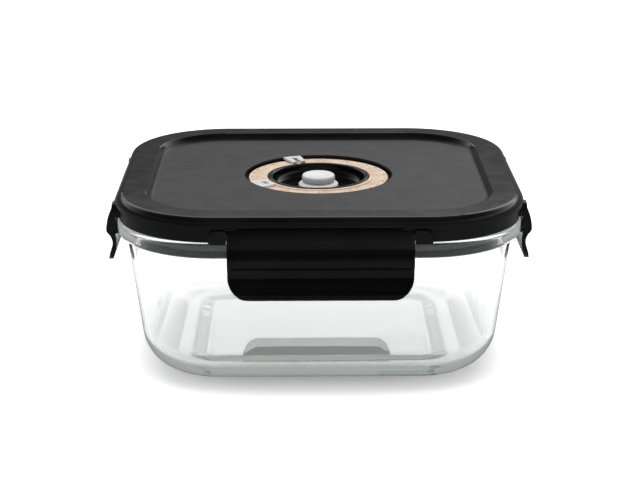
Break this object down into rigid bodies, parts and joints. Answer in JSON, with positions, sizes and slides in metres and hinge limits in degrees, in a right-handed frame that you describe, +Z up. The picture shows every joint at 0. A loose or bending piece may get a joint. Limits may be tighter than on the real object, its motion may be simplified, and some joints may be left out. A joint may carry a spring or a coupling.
{
  "type": "vacuum seal canister",
  "caption": "Square glass food canister with a black clamp-down lid: hinged side flaps, a central vacuum valve in a bowl, and a date ring with sliding pointers.",
  "frame": {"origin": "centre of the glass dish's flat underside", "axes": "+Z up through the lid, +X to the right seen from the front, -Y towards the front"},
  "size_m": [0.2006, 0.1846, 0.0878],
  "materials": {
    "glass": "clear",
    "lid_black": "satin",
    "inner_black": "satin",
    "flap_black": "gloss",
    "bowl_black": "gloss",
    "gasket_silicone": "satin",
    "pin_steel": "satin",
    "ring_champagne": "satin",
    "pointer_silver": "gloss",
    "valve_white": "satin"
  },
  "bodies": {
    "dish": {"glass_dish": "glass"},
    "lid": {"lid_cover": "lid_black", "lid_inner_shell": "inner_black", "lid_gasket": "gasket_silicone", "front_hinge_pin": "pin_steel", "back_hinge_pin": "pin_steel", "left_hinge_pin": "pin_steel", "right_hinge_pin": "pin_steel", "valve_bowl": "bowl_black", "bowl_seal": "gasket_silicone", "bowl_nut": "inner_black", "date_ring": "ring_champagne"},
    "front_flap": {"front_flap": "flap_black"},
    "back_flap": {"back_flap": "flap_black"},
    "left_flap": {"left_flap": "flap_black"},
    "right_flap": {"right_flap": "flap_black"},
    "day_pointer": {"day_pointer": "pointer_silver"},
    "month_pointer": {"month_pointer": "pointer_silver"},
    "valve_plug": {"valve_plug": "valve_white"}
  },
  "joints": [
    {"name": "lid_lift", "type": "slide", "parent": "dish", "child": "lid", "axis": [0, 0, 1], "range_m": [0, 0.014]},
    {"name": "front_flap_hinge", "type": "hinge", "parent": "lid", "child": "front_flap", "pos_m": [0, -0.0864, 0.0796], "axis": [-1, 0, 0], "range_deg": [0, 100]},
    {"name": "back_flap_hinge", "type": "hinge", "parent": "lid", "child": "back_flap", "pos_m": [0, 0.0864, 0.0796], "axis": [1, 0, 0], "range_deg": [0, 100]},
    {"name": "left_flap_hinge", "type": "hinge", "parent": "lid", "child": "left_flap", "pos_m": [-0.0944, 0, 0.0796], "axis": [0, 1, 0], "range_deg": [0, 100]},
    {"name": "right_flap_hinge", "type": "hinge", "parent": "lid", "child": "right_flap", "pos_m": [0.0944, 0, 0.0796], "axis": [0, -1, 0], "range_deg": [0, 100]},
    {"name": "day_pointer_turn", "type": "hinge", "parent": "lid", "child": "day_pointer", "pos_m": [0, 0, 0.0835], "axis": [0, 0, 1], "range_deg": [-114, 38]},
    {"name": "month_pointer_turn", "type": "hinge", "parent": "lid", "child": "month_pointer", "pos_m": [0, 0, 0.0835], "axis": [0, 0, 1], "range_deg": [-38, 114]},
    {"name": "valve_lift", "type": "slide", "parent": "lid", "child": "valve_plug", "axis": [0, 0, 1], "range_m": [0, 0.002]}
  ],
  "couplings": [
    {"joint": "front_flap_hinge", "follows": "lid_lift", "rad_per_m": 124.6},
    {"joint": "back_flap_hinge", "follows": "lid_lift", "rad_per_m": 124.6},
    {"joint": "left_flap_hinge", "follows": "lid_lift", "rad_per_m": 124.6},
    {"joint": "right_flap_hinge", "follows": "lid_lift", "rad_per_m": 124.6}
  ]
}
